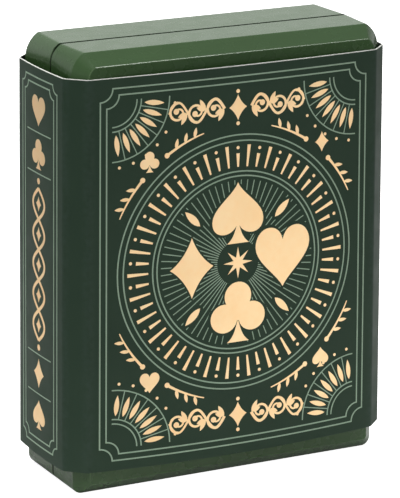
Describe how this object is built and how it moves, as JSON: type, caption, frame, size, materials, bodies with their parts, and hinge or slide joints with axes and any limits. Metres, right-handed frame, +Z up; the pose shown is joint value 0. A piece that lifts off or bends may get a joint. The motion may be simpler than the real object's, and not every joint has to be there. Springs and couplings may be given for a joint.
{
  "type": "wooden playing card box",
  "caption": "Book-style painted wooden box for playing cards, hinged down one side, held shut by magnets and a slide-off printed card sleeve",
  "frame": {"origin": "under the middle of the box, on the surface it stands on", "axes": "+Z up along the box's long side, +X to the right of someone facing the printed front, +Y from the front to the back, so the front faces -Y and the hinges are at -X"},
  "size_m": [0.1266, 0.057, 0.155],
  "materials": {
    "green_paint": "satin mid green paint over board, edges lightly rubbed",
    "hinge_brass": "stamped brass, lightly brushed",
    "pin_steel": "drawn steel wire",
    "magnet_nickel": "bright nickel plating",
    "tray_board": "black paper wrapped board, matte",
    "pad_felt": "dark green felt over foam",
    "booklet_paper": "uncoated cream paper, stapled",
    "tuck_card_red": "coated folding card, dark red",
    "tuck_card_blue": "coated folding card, dark blue",
    "playing_cards": "stack of coated cards, white edges",
    "sleeve_card": "dark green printed card, matte laminate, pale cut edge",
    "gold_foil": "pale gold foil print on the sleeve",
    "sage_ink": "sage green line print on the sleeve"
  },
  "bodies": {
    "box": {"base_back_panel": "green_paint", "base_bottom_rail": "green_paint", "base_left_rail": "green_paint", "base_magnets": "magnet_nickel", "base_right_rail": "green_paint", "base_top_rail": "green_paint", "card_deck_lower": "playing_cards", "card_deck_upper": "playing_cards", "card_tray": "tray_board", "hinge_base_screws": "hinge_brass", "hinge_lid_screws": "hinge_brass", "hinge_lower_base_leaf": "hinge_brass", "hinge_lower_lid_leaf": "hinge_brass", "hinge_lower_pin": "pin_steel", "hinge_upper_base_leaf": "hinge_brass", "hinge_upper_lid_leaf": "hinge_brass", "hinge_upper_pin": "pin_steel", "lid_bottom_rail": "green_paint", "lid_front_panel": "green_paint", "lid_left_rail": "green_paint", "lid_magnets": "magnet_nickel", "lid_pad": "pad_felt", "lid_right_rail": "green_paint", "lid_top_rail": "green_paint", "rules_booklet": "booklet_paper", "tuck_box_lower": "tuck_card_blue", "tuck_box_upper": "tuck_card_red"},
    "sleeve": {"card_sleeve": "sleeve_card"}
  },
  "joints": [
    {"name": "sleeve_slide", "type": "slide", "parent": "box", "child": "sleeve", "axis": [0, 0, 1], "range_m": [0, 0.15]}
  ]
}
